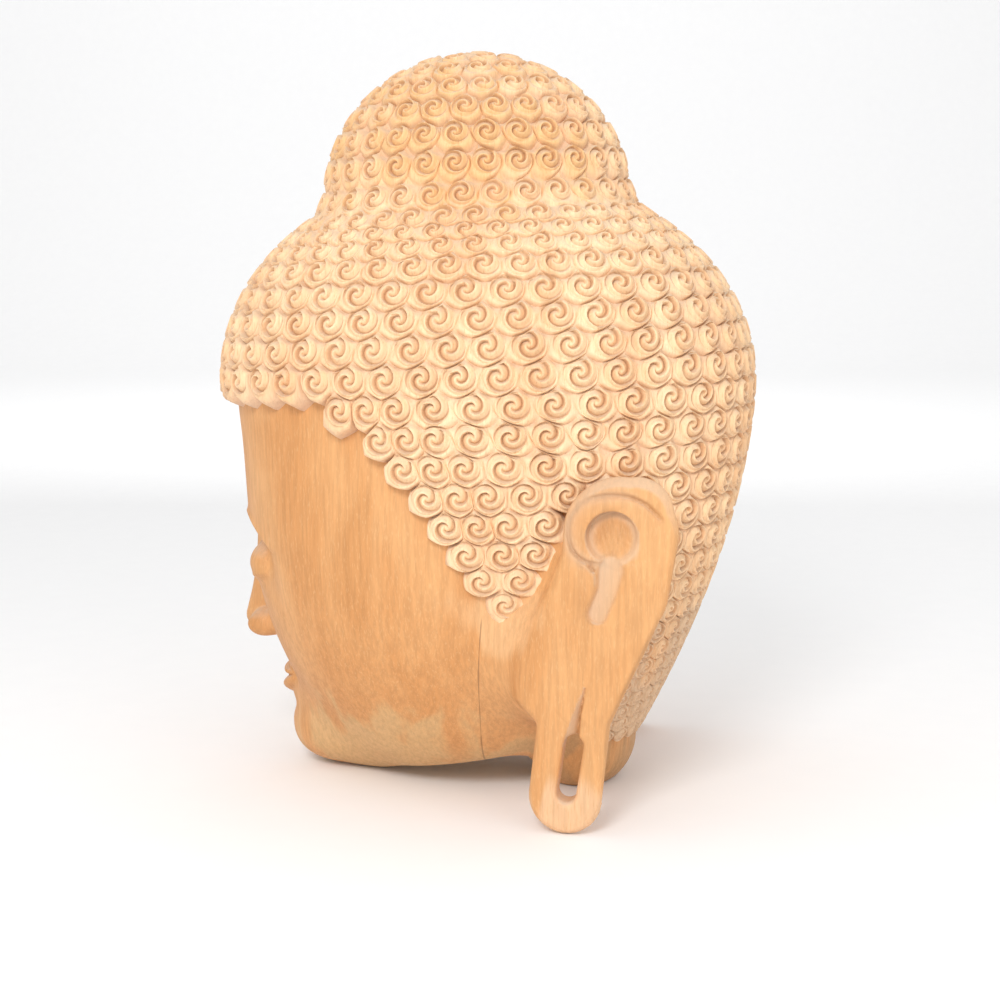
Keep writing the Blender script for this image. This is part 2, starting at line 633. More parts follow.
def outward_hit(field, origins, directions):
    """Where rays from inside a solid leave it, found by halving."""
    near = np.zeros(len(origins))
    far = np.full(len(origins), RAY_REACH)
    for _ in range(HALVINGS):
        middle = (near + far) / 2
        inside = field(origins + directions * middle[:, None]) < 0
        near = np.where(inside, middle, near)
        far = np.where(inside, far, middle)
    return origins + directions * near[:, None]


def pitches(height):
    """Spacing of rows, and of curls along a row, at a height."""
    size = ramp(height, NAPE_HEIGHT, FULL_SIZE_HEIGHT)
    row = ROW_PITCH_NAPE + (ROW_PITCH - ROW_PITCH_NAPE) * size
    row += (ROW_PITCH_TOPKNOT - row) * ramp(height, FOLD_HEIGHT, FOLD_HEIGHT + TOPKNOT_RAMP)
    row += (ROW_PITCH_FOLD - row) * swell(height - FOLD_HEIGHT, FOLD_REACH)
    column = COLUMN_PITCH_NAPE + (COLUMN_PITCH - COLUMN_PITCH_NAPE) * size
    column += (COLUMN_PITCH_TOPKNOT - column) * ramp(height, FOLD_HEIGHT - CRANIUM_RAMP, FOLD_HEIGHT)
    return row, column


def edge_share(height):
    """Share of the usual width that the two curls nearest the hairline have: more at the tip by the ear."""
    return EDGE_SHARE + (TIP_EDGE_SHARE - EDGE_SHARE) * ramp(TIP_EDGE_HEIGHT - height, 0.0, TIP_EDGE_REACH)


def row_loops(heights, count):
    """Points on the hair round level rows, each from the front midline past the head's left side."""
    azimuths = 2 * math.pi * np.arange(count) / count
    directions = np.stack([np.sin(azimuths), -np.cos(azimuths), -LEAN * np.cos(azimuths)], axis=-1)
    origins = np.array([[0.0, TOPKNOT_CENTRE[1], height] for height in heights])
    hits = outward_hit(hair, np.repeat(origins, count, axis=0), np.tile(directions, (len(heights), 1)))
    return hits.reshape(len(heights), count, 3)


def row_heights():
    """Heights of the rows, a pitch apart along the hair as it slopes on average round the head."""
    levels = np.arange(TOPKNOT_CENTRE[2] + TOPKNOT_RADII[2] - CROWN_INSET, NAPE_EDGE_HEIGHT, -LEVEL_STEP)
    spokes = row_loops(levels, LEVEL_POINTS)[..., :2] - TOPKNOT_CENTRE[:2]
    spreads = np.linalg.norm(spokes, axis=-1).mean(axis=1)
    steps = np.hypot(np.diff(spreads), np.diff(levels)) / pitches(levels[1:])[0]
    travelled = spreads[0] / ROW_PITCH_TOPKNOT + 1 - CROWN_ROWS + np.concatenate([[0.0], np.cumsum(steps)])
    return [float(np.interp(row + 1, travelled, levels)) for row in range(int(travelled[-1]))]


def slot_distance(back, height, top, foot, top_radius, foot_radius):
    """Signed distance, in the side view, to a slot with round ends that widens from top to foot."""
    run, rise = foot[0] - top[0], foot[1] - top[1]
    share = np.clip(((back - top[0]) * run + (height - top[1]) * rise) / (run**2 + rise**2), 0, 1)
    gap = np.hypot(back - top[0] - share * run, height - top[1] - share * rise)
    return gap - top_radius - share * (foot_radius - top_radius)


def ear_distance(back, height):
    """Signed distance, in the side view, to the outline of the ear."""
    pairs = zip(EAR_DISCS, EAR_DISCS[1:])
    return np.min([slot_distance(back, height, a[:2], b[:2], a[2], b[2]) for a, b in pairs], axis=0)


def line_height(line, back):
    return np.interp(back, [point[0] for point in line], [point[1] for point in line])


def has_curl(point, margin):
    """Whether a curl grows at a point: above the hairline by the margin, off the ear and above the nape."""
    back, height = point[1], point[2]
    if height < NAPE_EDGE_HEIGHT + margin * NAPE_MARGIN or ear_distance(back, height) < -EAR_OVERLAP:
        return False
    return back > HAIRLINE[-1][0] or height > line_height(HAIRLINE, back) + margin * HAIRLINE_MARGIN


def place_row(height, number):
    """One row's curl centres as (share of the way round, point), the same on both sides of the midline."""
    loop = row_loops([height], ROW_LOOP_POINTS)[0]
    closed_loop = np.concatenate([loop, loop[:1]])
    lengths = np.concatenate([[0.0], np.cumsum(np.linalg.norm(np.diff(closed_loop, axis=0), axis=1))])
    half = ROW_LOOP_POINTS // 2
    pitch = pitches(height)[1]
    shift = number % 2 / 2
    hairy = [has_curl(loop[index], pitch) for index in range(half + 1)]
    start = lengths[hairy.index(True)] if not hairy[0] and True in hairy else 0.0
    if start == 0.0:
        count = max(round(2 * lengths[half] / pitch), LEAST_CURLS_ROUND)
        stations = [2 * lengths[half] / count * (index + shift) for index in range(count)]
    else:
        # The curls are spaced from the hairline back, and the bare places before it from the midline on.
        narrowing = 1 - edge_share(height)
        count = max(round((lengths[half] - start) / pitch - shift + 2 * narrowing), LEAST_CURLS_BEHIND)
        spacing = (lengths[half] - start) / (count + shift - 2 * narrowing)
        bare = max(round(start / spacing - shift), 1)
        stations = [start / (bare + shift) * (index + shift) for index in range(bare)]
        stations += [start + spacing * (index - narrowing * min(index, 2)) for index in range(count + 1)]
    halfway = lengths[half] + TINY
    shares = {round(length / lengths[-1], SHARE_DIGITS) for length in stations if length <= halfway}
    shares |= {round(1.0 - share, SHARE_DIGITS) for share in shares if 0.0 < share < HALFWAY_SHARE}
    shares = sorted(shares)
    stops = [share * lengths[-1] for share in shares]
    points = np.stack([np.interp(stops, lengths, closed_loop[:, axis]) for axis in range(3)], axis=-1)
    return list(zip(shares, points))


def stitch(upper, lower):
    """Triangles between two rings of (share of the way round, index), by the shorter of two diagonals."""
    upper = upper + [(upper[0][0] + 1.0, upper[0][1])]
    lower = lower + [(lower[0][0] + 1.0, lower[0][1])]
    triangles = []
    i = j = 0
    while i < len(upper) - 1 or j < len(lower) - 1:
        on_upper = abs(upper[i + 1][0] - lower[j][0]) if i < len(upper) - 1 else math.inf
        on_lower = abs(lower[j + 1][0] - upper[i][0]) if j < len(lower) - 1 else math.inf
        corner = upper[i + 1][1] if on_upper <= on_lower else lower[j + 1][1]
        triangles.append((upper[i][1], lower[j][1], corner))
        if on_upper <= on_lower:
            i += 1
        else:
            j += 1
    return triangles


def hair_lattice():
    """Centres of the curls and of the bare places by them, their row spacings and the triangles between."""
    crown = outward_hit(hair, np.array([TOPKNOT_CENTRE]), np.array([[0.0, 0.0, 1.0]]))[0]
    centres, spacings, rings = [crown], [ROW_PITCH_TOPKNOT], []
    heights = row_heights()
    # One bare row past the nape closes the last row's cells.
    heights.append(2 * heights[-1] - heights[-2])
    for number, height in enumerate(heights):
        ring = []
        for share, point in place_row(height, number):
            ring.append((share, len(centres)))
            centres.append(point)
            spacings.append(pitches(height)[0])
        rings.append(ring)
    triangles = [(0, a[1], b[1]) for a, b in zip(rings[0], rings[0][1:] + rings[0][:1])]
    for upper, lower in zip(rings, rings[1:]):
        triangles += stitch(upper, lower)
    return np.array(centres), np.array(spacings), triangles


def normals_at(field, points):
    slopes = [field(points + step) - field(points - step) for step in np.eye(3) * NORMAL_STEP]
    slopes = np.stack(slopes, axis=-1)
    return slopes / np.linalg.norm(slopes, axis=-1, keepdims=True)


def face_x(back):
    return EAR_FACE_X + EAR_FLARE * (back - EAR_DISCS[-1][0])


def chain_distance(back, height, stations):
    """Distance, in the side view, to a line through several places."""
    gaps = [slot_distance(back, height, a, b, 0.0, 0.0) for a, b in zip(stations, stations[1:])]
    return np.min(gaps, axis=0)


def curve_through(stations):
    """Closely spaced places on a smooth line through the stations."""
    places = np.array([stations[0], *stations, stations[-1]])
    shares = np.linspace(0.0, 1.0, CURVE_PARTS, endpoint=False)[:, None]
    spans = []
    for before, start, end, after in zip(places, places[1:], places[2:], places[3:]):
        leave, arrive = (end - before) / 2, (after - start) / 2
        bow = 3 * (end - start) - 2 * leave - arrive
        bend = 2 * (start - end) + leave + arrive
        spans.append(start + shares * (leave + shares * (bow + shares * bend)))
    return np.concatenate([*spans, places[-1:]])


def rim_carving(back, height):
    """Bevel, band and groove inside the top edge of the ear: their depth, and how dark and dusty they lie."""
    outline = ear_distance(back, height)
    around_y, around_z = back - EAR_DISCS[1][0], height - EAR_DISCS[1][1]
    upness = ramp(around_z / (np.hypot(around_y, around_z) + TINY), *BEVEL_TURN)
    width = BEVEL_WIDTH * between(BEVEL_NARROWING, upness)
    bevel = BEVEL_DEPTH * upness * (1 - ramp(-outline, 0.0, width)) ** BEVEL_POWER
    groove_line = curve_through(GROOVE_LINE)
    to_groove = chain_distance(back, height, groove_line)
    to_ends = np.minimum(*(np.hypot(back - y, height - z) for y, z in groove_line[[0, -1]]))
    line = swell(to_groove, GROOVE_LINE_WIDTH) * soft_step(to_ends, 0.0, GROOVE_LINE_FADE)
    within = 1 - np.hypot((back - BAND_CENTRE[0]) / BAND_RADII[0], (height - BAND_CENTRE[1]) / BAND_RADII[1])
    band = BAND_DEPTH * soft_step(within, *BAND_EDGE) * soft_step(BAND_BACK - back, 0.0, BAND_FADE)
    bevel_dust = 1 - soft_step(-outline, width + BEVEL_DUST_EDGE[0], width + BEVEL_DUST_EDGE[1])
    line_dust = swell(to_groove, GROOVE_DUST_WIDTH) * soft_step(BAND_BACK - back, 0.0, GROOVE_DUST_FADE)
    dust = np.maximum(BEVEL_DUST * upness * bevel_dust, GROOVE_DUST * line_dust)
    return bevel + band + GROOVE_LINE_DEPTH * line, GROOVE_LINE_DARK * line, dust


def bowl_carving(back, height):
    """The round bowl at the top of the ear, deepest at its upper front, with tool marks on its floor."""
    along, rise = back - BOWL_CENTRE[0], height - BOWL_CENTRE[1]
    inset = BOWL_RIM - np.hypot(along, rise)
    toward = (BOWL_DEEP_SIDE[0] * along + BOWL_DEEP_SIDE[1] * rise) / BOWL_RIM
    share = ramp(toward, *BOWL_TURN)
    bowl = between(BOWL_DEPTH, share) * soft_step(inset, 0.0, between(BOWL_EDGE, share))
    marks = TOOL_MARK_DEPTH * np.abs(np.sin(math.pi * (along + TOOL_MARK_SLANT * rise) / TOOL_MARK_WIDTH))
    bowl = bowl + marks * soft_step(inset - BOWL_RIM * (1 - TOOL_MARK_REACH), 0.0, TOOL_MARK_FADE)
    dark = soft_step(inset, *BOWL_DARK_EDGE[:2]) * (1 - soft_step(inset, *BOWL_DARK_EDGE[1:]))
    dust = soft_step(inset, 0.0, BOWL_DUST_EDGE[0]) * (1 - soft_step(inset, *BOWL_DUST_EDGE[1:]))
    return bowl, dark * soft_step(toward, *BOWL_DARK), BOWL_DUST * dust


def drip_carving(back, height):
    """The drip-shaped channel below the bowl, deeper along its front."""
    inset = -np.minimum(
        slot_distance(back, height, DRIP_TOP, DRIP_WAIST, DRIP_TOP_RADIUS, DRIP_RADIUS),
        slot_distance(back, height, DRIP_WAIST, DRIP_FOOT, DRIP_RADIUS, DRIP_RADIUS),
    )
    run, rise = DRIP_FOOT[0] - DRIP_TOP[0], DRIP_FOOT[1] - DRIP_TOP[1]
    behind = ((height - DRIP_TOP[1]) * run - (back - DRIP_TOP[0]) * rise) / math.hypot(run, rise)
    share = ramp(behind, -DRIP_RADIUS, DRIP_RADIUS)
    drip = DRIP_DEPTH * (1 - DRIP_SLOPE * share) * soft_step(inset, 0.0, DRIP_EDGE)
    dust = (1 - DRIP_DUST_SLOPE * share) * soft_step(inset, 0.0, DRIP_DUST_EDGE)
    return drip, DRIP_DARK * swell(inset, DRIP_DARK_WIDTH) * (behind < 0), dust


def wedge_carving(back, height):
    """The wedge-shaped cut that runs down into the slit of the lobe, deepest along its back."""
    left = np.interp(height, *WEDGE_LEFT)
    share = (back - left) / np.maximum(np.interp(height, *WEDGE_RIGHT) - left, WEDGE_LEAST_WIDTH)
    top = WEDGE_LEFT[0][-1]
    depth = between(WEDGE_DEPTH, ramp(top - height, 0.0, top - SLIT_TOP[1]))
    cut = depth * ramp(share, *WEDGE_FALL) ** WEDGE_POWER * (1 - ramp(share, *WEDGE_BACK)) * (height < top)
    cut = cut * soft_step(height, SLIT_TOP[1] - WEDGE_FOOT_FADE, SLIT_TOP[1] + WEDGE_FOOT_FADE)
    seen = cut > WEDGE_SEEN
    dark = ramp(share, *WEDGE_DARK_RANGE) * (1 - ramp(share, *WEDGE_DARK_BACK)) * seen
    return cut, WEDGE_DARK * dark, WEDGE_DUST * seen * (1 - ramp(share, *WEDGE_DUST_RANGE))


def carved_ear(back, height):
    """How deep the carving goes into the face of the ear, how dark it lies and how much dust lies on it."""
    parts = [carve(back, height) for carve in (rim_carving, bowl_carving, drip_carving, wedge_carving)]
    depth, dark, dust = (np.maximum.reduce(layers) for layers in zip(*parts))
    ridge = swell(chain_distance(back, height, curve_through(FRONT_RIDGE_LINE)), FRONT_RIDGE_WIDTH)
    pit = swell(slot_distance(back, height, *FRONT_PIT, 0.0, 0.0), FRONT_PIT_WIDTH)
    line = swell(ear_distance(back, height) + LOBE_LINE_INSET, LOBE_LINE_WIDTH)
    line = line * soft_step(height, *LOBE_LINE_FOOT) * (1 - soft_step(height, *LOBE_LINE_TOP))
    line = line * (back > np.interp(height, *WEDGE_LEFT))
    depth = depth + FRONT_PIT_DEPTH * pit + LOBE_LINE_DEPTH * line - FRONT_RIDGE * ridge
    dark = np.maximum.reduce([dark, pit, LOBE_LINE_DARK * line])
    dust = np.maximum(dust, FRONT_RIDGE_DUST * ridge)
    return depth, np.clip(dark, 0.0, 1.0), np.clip(dust, 0.0, 1.0)


class EarMap:
    """The ear's carving worked out once over its side view, and read back between the nodes of the map."""

    def __init__(self):
        self.low = np.array(EAR_MAP_LOW)
        counts = [int((high - low) / EAR_MAP_STEP) + 2 for low, high in zip(EAR_MAP_LOW, EAR_MAP_HIGH)]
        rows = [low + EAR_MAP_STEP * np.arange(count) for low, count in zip(EAR_MAP_LOW, counts)]
        self.layers = carved_ear(*np.meshgrid(*rows, indexing="ij"))

    def read(self, layer, back, height):
        values = self.layers[layer]
        spots = [
            np.clip((place - low) / EAR_MAP_STEP, 0, count - 1.001)
            for place, low, count in zip((back, height), self.low, values.shape)
        ]
        cells = [spot.astype(int) for spot in spots]
        y, z = (spot - cell for spot, cell in zip(spots, cells))
        near = values[cells[0], cells[1]] * (1 - z) + values[cells[0], cells[1] + 1] * z
        far = values[cells[0] + 1, cells[1]] * (1 - z) + values[cells[0] + 1, cells[1] + 1] * z
        return near * (1 - y) + far * y


def ear_side(back, height, depth):
    """The ear's plate without its face: it narrows from the rounded edge to the root."""
    in_lobe = 1 - ramp(height, LOBE_TOP, LOBE_TOP + LOBE_RAMP)
    edge_depths = [0.0, EAR_EDGE_ROUND, EAR_EDGE_WIDTH]
    shrinks = [EAR_FACE_INSET, 0.0, EAR_EDGE_ROUND]
    plain = np.interp(depth, [*edge_depths, EAR_FACE_X - EAR_ROOT_X], [*shrinks, EAR_ROOT_SHRINK])
    lobe_shrinks = [*shrinks, EAR_ROOT_SHRINK * LOBE_SHRINK_SHARE]
    lobe = np.interp(depth, [*edge_depths, EAR_FACE_X - LOBE_INNER_X], lobe_shrinks)
    side = ear_distance(back, height) + plain + (lobe - plain) * in_lobe
    inner = EAR_ROOT_X + (LOBE_INNER_X - EAR_ROOT_X) * in_lobe
    return side, inner


def carving(points):
    """The bare wood with its ears, carved in full, and cut flat on the resting plane."""
    across, back, height = np.abs(points[..., 0]), points[..., 1], points[..., 2]
    depth = face_x(back) - across
    side, inner = ear_side(back, height, depth)
    side = smooth_max(side, inner - across, LOBE_INNER_ROUND)
    slit = slot_distance(back, height, SLIT_TOP, SLIT_FOOT, SLIT_HALF_WIDTH, SLIT_HALF_WIDTH)
    flare = SLIT_FLARE * ramp(SLIT_FLARE_DEPTH - depth, 0.0, SLIT_FLARE_DEPTH) ** 2
    side = smooth_max(side, -slit + flare, SLIT_ROUND)
    joined = soft_step(height, *CHEEK_JOIN_FOOT) * (1 - soft_step(height, *CHEEK_JOIN_TOP))
    joined = joined * (1 - soft_step(back, *CHEEK_JOIN_BACK))
    blend = EAR_CREASE + (CHEEK_JOIN - EAR_CREASE) * joined
    wood = smooth_min(skin(points), side, blend)
    inside = soft_step(-ear_distance(back, height), *EAR_FACE_FADE)
    wood = smooth_max(wood, EAR_MAP.read(0, back, height) * inside - depth, EAR_FACE_ROUND)
    return smooth_max(wood, -height, FOOT_ROUND)


def net_of(field, low, high, step):
    """Quads round the zero of a field that is the same left and right, for the half on the head's left.

    The first column of cells straddles the middle plane, and its points come out on the plane."""
    counts = [int(round((top - bottom) / step)) + 1 for bottom, top in zip(low, high)]
    rows = [bottom + step * np.arange(count) for bottom, count in zip(low, counts)]
    values = np.empty(counts)
    for index, across in enumerate(rows[0]):
        values[index] = field(np.stack(np.meshgrid([across], rows[1], rows[2], indexing="ij"), axis=-1))[0]
    cells = np.array(counts) - 1
    owners, places, quads = [], [], []
    for axis in range(3):
        ahead = [slice(None)] * 3
        behind = [slice(None)] * 3
        ahead[axis], behind[axis] = slice(1, None), slice(None, -1)
        first, second = values[tuple(behind)], values[tuple(ahead)]
        spots = np.argwhere((first < 0) != (second < 0))
        start, end = first[tuple(spots.T)], second[tuple(spots.T)]
        crossing = spots.astype(float)
        crossing[:, axis] += start / (start - end)
        ring = []
        for step_p, step_q in ((0, 0), (-1, 0), (-1, -1), (0, -1)):
            cell = spots.copy()
            cell[:, (axis + 1) % 3] += step_p
            cell[:, (axis + 2) % 3] += step_q
            ring.append(cell)
        ring = np.stack(ring, axis=1)
        whole = ((ring >= 0) & (ring < cells)).all(axis=(1, 2))
        ring, crossing, outward = ring[whole], crossing[whole], (start < 0)[whole]
        codes = np.ravel_multi_index(tuple(np.moveaxis(ring, -1, 0)), tuple(cells))
        owners.append(codes.ravel())
        places.append(np.repeat(crossing, 4, axis=0))
        quads.append(np.where(outward[:, None], codes, codes[:, ::-1]))
    names, owner = np.unique(np.concatenate(owners), return_inverse=True)
    places = np.concatenate(places)
    share = np.bincount(owner, minlength=len(names))
    points = np.stack([np.bincount(owner, places[:, axis], len(names)) / share for axis in range(3)], axis=-1)
    points = np.array(low) + step * points
    middle = np.array(np.unravel_index(names, tuple(cells)))[0] == 0
    points[middle, 0] = 0.0
    for _ in range(SETTLING_ROUNDS):
        slopes = [field(points + nudge) - field(points - nudge) for nudge in np.eye(3) * NUDGE]
        slopes = np.stack(slopes, axis=-1) / (2 * NUDGE)
        steep = np.maximum((slopes**2).sum(axis=-1), LEAST_STEEPNESS)
        move = -(field(points) / steep)[:, None] * slopes
        length = np.linalg.norm(move, axis=1, keepdims=True)
        points += move * np.minimum(1.0, step / 2 / np.maximum(length, TINY))
        points[middle, 0] = 0.0
    return points, np.searchsorted(names, np.concatenate(quads)), middle


def both_sides(points, quads, middle):
    """The half and its mirror image as one mesh that shares the points of the middle plane."""
    twins = np.where(middle, np.arange(len(points)), len(points) + np.cumsum(~middle) - 1)
    mirrored = points[~middle] * np.array([-1.0, 1.0, 1.0])
    return np.concatenate([points, mirrored]), np.concatenate([quads, twins[quads[:, ::-1]]])


def shows(points):
    """Whether a place on the bare wood lies clear of the hair, or only a little way under it."""
    back, height = points[:, 1], points[:, 2]
    below_hair = height < line_height(HAIRLINE, back) + HIDDEN_MARGIN
    near_ear = ear_distance(back, height) < EAR_MARGIN
    neck = height < NAPE_EDGE_HEIGHT + HIDDEN_MARGIN
    return (below_hair & (back < HAIRLINE[-1][0])) | near_ear | neck


def add_mesh(name, points, faces, layers, material):
    mesh = bpy.data.meshes.new(name)
    mesh.from_pydata(points.tolist(), [], faces.tolist())
    for title, values in layers.items():
        layer = mesh.attributes.new(title, "FLOAT", "POINT")
        layer.data.foreach_set("value", np.asarray(values, np.float32))
    mesh.update()
    mesh.shade_smooth()
    mesh.set_sharp_from_angle(angle=SHARP_ANGLE)
    mesh.materials.append(material)
    piece = bpy.data.objects.new(name, mesh)
    bpy.context.scene.collection.objects.link(piece)
    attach(piece, "root")
    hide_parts("head")


def thinned(points, quads, count):
    """The same surface with about so many triangles, fewest where it is nearly flat."""
    mesh = bpy.data.meshes.new("draft")
    mesh.from_pydata(points.tolist(), [], quads.tolist())
    draft = bpy.data.objects.new("draft", mesh)
    bpy.context.scene.collection.objects.link(draft)
    thinning = draft.modifiers.new("thinning", "DECIMATE")
    thinning.ratio = count / (2 * len(quads))
    thinning.use_collapse_triangulate = True
    shape = bpy.data.meshes.new_from_object(draft.evaluated_get(bpy.context.evaluated_depsgraph_get()))
    places = np.empty(3 * len(shape.vertices))
    shape.vertices.foreach_get("co", places)
    corners = np.empty(len(shape.loops), dtype=np.int32)
    shape.loops.foreach_get("vertex_index", corners)
    bpy.data.objects.remove(draft)
    for spare in (mesh, shape):
        bpy.data.meshes.remove(spare)
    return places.reshape(-1, 3), corners.reshape(-1, 3)


def add_bare_wood(material):
    low, high = (-BARE_STEP / 2, *BARE_LOW), (BARE_ACROSS, *BARE_HIGH)
    points, quads, middle = net_of(carving, low, high, BARE_STEP)
    quads = quads[shows(points[quads].mean(axis=1))]
    points, quads = both_sides(points, quads, middle)
    used, inverse = np.unique(quads, return_inverse=True)
    points, quads = points[used], inverse.reshape(quads.shape)
    points, faces = thinned(points, quads, BARE_TRIANGLES)
    add_mesh("face_ears_and_neck", points, faces, layers_of_bare(points), material)


def layers_of_bare(points):
    """How dark each place lies in the carving of the ear, and how much pale dust lies on it."""
    back, height = points[:, 1], points[:, 2]
    inside = soft_step(-ear_distance(back, height), *CARVED_FADE) * (np.abs(points[:, 0]) > CARVED_LEAST_X)
    deep = SKIN_RECESS_SHARE * ramp(EAR_MAP.read(0, back, height), *SKIN_RECESS_RANGE)
    dust = EAR_MAP.read(2, back, height)
    dark = np.maximum(deep * (1 - dust), EAR_MAP.read(1, back, height))
    return {"recess": dark * inside, "dust": dust * inside}


def gripped(points):
    """The points moved along lines from the heart of the head to just under the bare wood."""
    inward = points - HEART
    inward = inward / np.linalg.norm(inward, axis=1, keepdims=True)
    return outward_hit(skin, np.tile(HEART, (len(points), 1)), inward) - inward * SKIN_GRIP


class Cells:
    """The cells that the curls stand in: their centres, which of them grow a curl, and their corners.

    A corner between two curls and one below them is shallow. One between a curl and two below is a pit."""

    def __init__(self):
        self.centres, self.spacings, triangles = hair_lattice()
        self.triangles = np.array(triangles)
        self.normals = normals_at(hair, self.centres)
        self.levels = self.centres[:, 2] - LEAN * self.centres[:, 1]
        margins = [pitches(centre[2])[1] * GROWTH_MARGIN for centre in self.centres]
        self.grows = np.array([has_curl(*pair) for pair in zip(self.centres, margins)])
        rows = np.sort(self.levels[self.triangles], axis=1)
        depth = np.where(rows[:, 2] - rows[:, 1] < SAME_LEVEL, TOP_CORNER_DEPTH, TIP_CORNER_DEPTH)
        corners = self.centres[self.triangles].mean(axis=1)
        corners -= normals_at(hair, corners) * (depth * self.spacings[self.triangles].mean(axis=1))[:, None]
        inner = self.grows[self.triangles]
        self.outer = ~inner.all(axis=1)
        middles = (self.centres[self.triangles] * inner[..., None]).sum(axis=1)
        middles = middles / np.maximum(inner.sum(axis=1), 1)[:, None]
        corners[self.outer] += OUTER_REACH * (corners - middles)[self.outer]
        corners[self.outer] = gripped(corners[self.outer])
        self.corners = corners
        self.lines = {}
        self.around = [[] for _ in self.centres]
        for corner, triangle in enumerate(triangles):
            for site in triangle:
                self.around[site].append(corner)

    def crease(self, ends):
        """Points from one corner of a cell to the next: a crease below a curl, a saddle beside it."""
        start, end = self.corners[ends[0]], self.corners[ends[1]]
        shares = np.linspace(0.0, 1.0, EDGE_PARTS + 1)[:, None]
        straight = start + (end - start) * shares
        sites = sorted(set(self.triangles[ends[0]]) & set(self.triangles[ends[1]]))
        centres, levels = self.centres[sites], self.levels[sites]
        if self.outer[ends[0]] and self.outer[ends[1]]:
            owner = centres[0 if self.grows[sites[0]] else 1]
            spokes = straight - owner
            reach = np.linalg.norm(spokes, axis=1, keepdims=True)
            rounded = owner + spokes / reach * (reach[0] + (reach[-1] - reach[0]) * shares)
            straight[1:-1] = gripped(rounded[1:-1])
            return straight
        depth = SADDLE_DEPTH if abs(levels[0] - levels[1]) < SAME_LEVEL else CREASE_DEPTH
        if self.outer[ends[0]] or self.outer[ends[1]]:
            depth = max(depth, OUTER_CREASE_DEPTH)
        middle = centres.mean(axis=0) - self.normals[sites].mean(axis=0) * depth * self.spacings[sites].mean()
        if depth != SADDLE_DEPTH:
            middle = middle + (centres[np.argmin(levels)] - centres[np.argmax(levels)]) * SCALLOP_BOW
        return straight + (middle - (start + end) / 2) * (4 * shares * (1 - shares))

    def edge(self, site):
        """Keys and places of the points round a cell. Neighbours have the same keys for what they share."""
        right, up = level_axes(self.normals[site])
        spokes = self.corners[self.around[site]] - self.centres[site]
        ring = [self.around[site][index] for index in np.argsort(np.arctan2(spokes @ up, spokes @ right))]
        keys, places = [], []
        for first, second in zip(ring, ring[1:] + ring[:1]):
            ends = (min(first, second), max(first, second))
            if ends not in self.lines:
                self.lines[ends] = self.crease(ends)
            line, numbers = self.lines[ends], range(1, EDGE_PARTS)
            if first != ends[0]:
                line, numbers = line[::-1], numbers[::-1]
            keys += [first, *((ends, number) for number in numbers)]
            places.append(line[:-1])
        return keys, np.concatenate(places)


def level_axes(normal):
    """Directions to the right and up along a surface, as seen from outside it."""
    right = np.cross(UPRIGHT, normal)
    right /= np.linalg.norm(right)
    return right, np.cross(normal, right)


def spiral(radius, angles, wave, turn):
    """A carved spiral with two arms, each steep on its inner side: its height from 0 to 1, and its groove."""
    phase = (2 * math.pi * radius / wave - 2 * angles + turn) / (2 * math.pi)
    share = phase - np.floor(phase)
    rise = soft_step(share, *ARM_RISE)
    fall = 1 - soft_step(share, *ARM_FALL) * ARM_SLOPE - soft_step(share, *ARM_EDGE) * (1 - ARM_SLOPE)
    groove = swell(share - np.round(share), GROOVE_WIDTH)
    return rise * fall, groove


